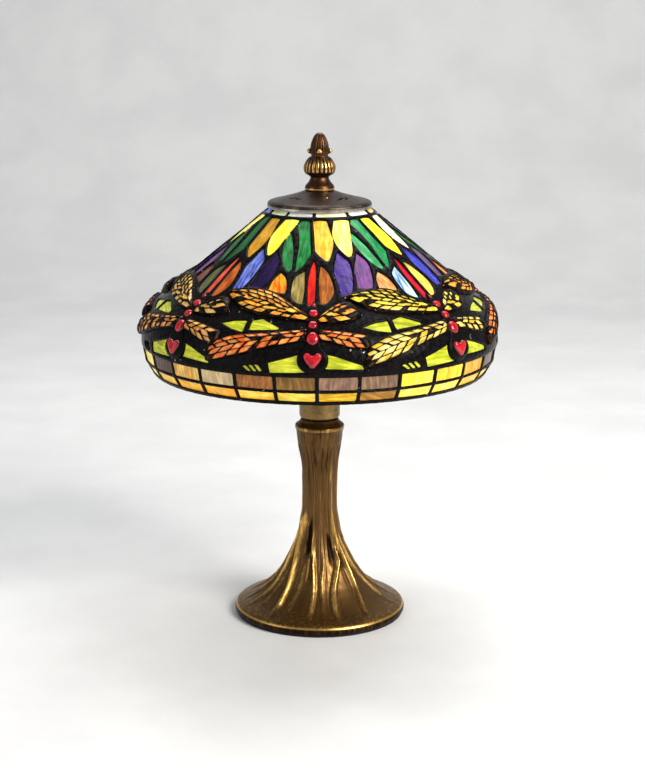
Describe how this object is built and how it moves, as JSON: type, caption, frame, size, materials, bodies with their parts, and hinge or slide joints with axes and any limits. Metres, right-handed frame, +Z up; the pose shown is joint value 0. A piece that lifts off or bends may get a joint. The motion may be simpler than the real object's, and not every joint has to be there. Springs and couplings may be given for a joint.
{
  "type": "table lamp",
  "caption": "Small table lamp with a leaded dragonfly glass shade of seven sectors, held by a harp and finial on a cast tree-trunk base.",
  "frame": {"origin": "centre of the felt pad's underside, where the lamp rests", "axes": "+Z up along the lamp's axis; -Y is the front, with the axis of dragonfly 1; +X to the viewer's right"},
  "size_m": [0.2532, 0.2548, 0.348],
  "materials": {
    "felt": "black felt, matt",
    "cast_iron": "rough casting, painted black",
    "antique_bronze": "antique bronze, brown in the hollows and rubbed gold on the ridges",
    "dark_bronze": "dark bronze with a rubbed bright rim",
    "antique_brass": "satin antique brass",
    "brass": "plain brass",
    "plated_steel": "zinc plated",
    "black_rubber": "matt black",
    "phenolic": "moulded dark brown-black",
    "bulb_cap": "thin aluminium screw shell",
    "bulb_glass": "frosted white glass",
    "solder": "black patina on tin-lead solder, small bright worn spots",
    "filigree": "black patinated brass filigree over amber glass",
    "petal_glass": "streaky opalescent art glass in greens, yellows, blues, purples, red and orange",
    "wing_glass": "streaky opalescent yellow-green and amber art glass",
    "band_glass": "streaky opalescent amber, brown, cream and yellow art glass",
    "crown_glass": "pale cream opalescent glass"
  },
  "bodies": {
    "base": {"felt_pad": "felt", "base_weight": "cast_iron", "trunk_base": "antique_bronze", "cord_bushing": "black_rubber", "threaded_pipe": "plated_steel", "pipe_nut": "plated_steel", "pipe_washer": "plated_steel", "neck_ring": "antique_bronze", "socket_cup": "antique_brass", "harp_saddle": "antique_brass", "harp_loop": "antique_brass", "harp_sleeve_left": "antique_brass", "harp_sleeve_right": "antique_brass", "harp_stud": "antique_brass", "socket_cap": "antique_brass", "socket_shell": "antique_brass", "socket_body": "phenolic", "socket_screw_shell": "brass", "socket_contact": "brass"},
    "switch": {"switch_shaft": "plated_steel", "switch_knob": "phenolic"},
    "bulb_thread": {"bulb_contact": "brass"},
    "bulb": {"bulb_globe": "bulb_glass", "bulb_screw_base": "bulb_cap"},
    "shade": {"shade_spider": "antique_brass", "vented_cap": "dark_bronze", "crown_came": "solder", "crown_glass": "crown_glass", "solder_frame": "solder", "shade_rim": "solder", "petal_glass_1": "petal_glass", "petal_glass_2": "petal_glass", "petal_glass_3": "petal_glass", "petal_glass_4": "petal_glass", "petal_glass_5": "petal_glass", "petal_glass_6": "petal_glass", "petal_glass_7": "petal_glass", "wing_glass_1": "wing_glass", "wing_glass_2": "wing_glass", "wing_glass_3": "wing_glass", "wing_glass_4": "wing_glass", "wing_glass_5": "wing_glass", "wing_glass_6": "wing_glass", "wing_glass_7": "wing_glass", "band_glass_1": "band_glass", "band_glass_2": "band_glass", "band_glass_3": "band_glass", "band_glass_4": "band_glass", "band_glass_5": "band_glass", "band_glass_6": "band_glass", "band_glass_7": "band_glass", "dragonfly_1": "filigree", "dragonfly_2": "filigree", "dragonfly_3": "filigree", "dragonfly_4": "filigree", "dragonfly_5": "filigree", "dragonfly_6": "filigree", "dragonfly_7": "filigree"},
    "finial_thread": {"finial_insert": "brass"},
    "finial": {"finial": "antique_bronze"}
  },
  "joints": [
    {"name": "shade_turn", "type": "hinge", "parent": "base", "child": "shade", "pos_m": [0, 0, 0.296], "axis": [0, 0, 1], "continuous": true},
    {"name": "finial_lift", "type": "slide", "parent": "base", "child": "finial_thread", "axis": [0, 0, 1], "range_m": [0, 0.0047]},
    {"name": "finial_turn", "type": "hinge", "parent": "finial_thread", "child": "finial", "pos_m": [0, 0, 0.313], "axis": [0, 0, 1], "range_deg": [0, 1800]},
    {"name": "bulb_lift", "type": "slide", "parent": "base", "child": "bulb_thread", "axis": [0, 0, 1], "range_m": [0, 0.0145]},
    {"name": "bulb_turn", "type": "hinge", "parent": "bulb_thread", "child": "bulb", "pos_m": [0, 0, 0.195], "axis": [0, 0, 1], "range_deg": [0, 1440]},
    {"name": "switch_turn", "type": "hinge", "parent": "base", "child": "switch", "pos_m": [0, -0.0265, 0.1765], "axis": [0, -1, 0], "continuous": true}
  ],
  "couplings": [
    {"joint": "finial_turn", "follows": "finial_lift", "rad_per_m": 6679},
    {"joint": "bulb_turn", "follows": "bulb_lift", "rad_per_m": 1731.6}
  ]
}
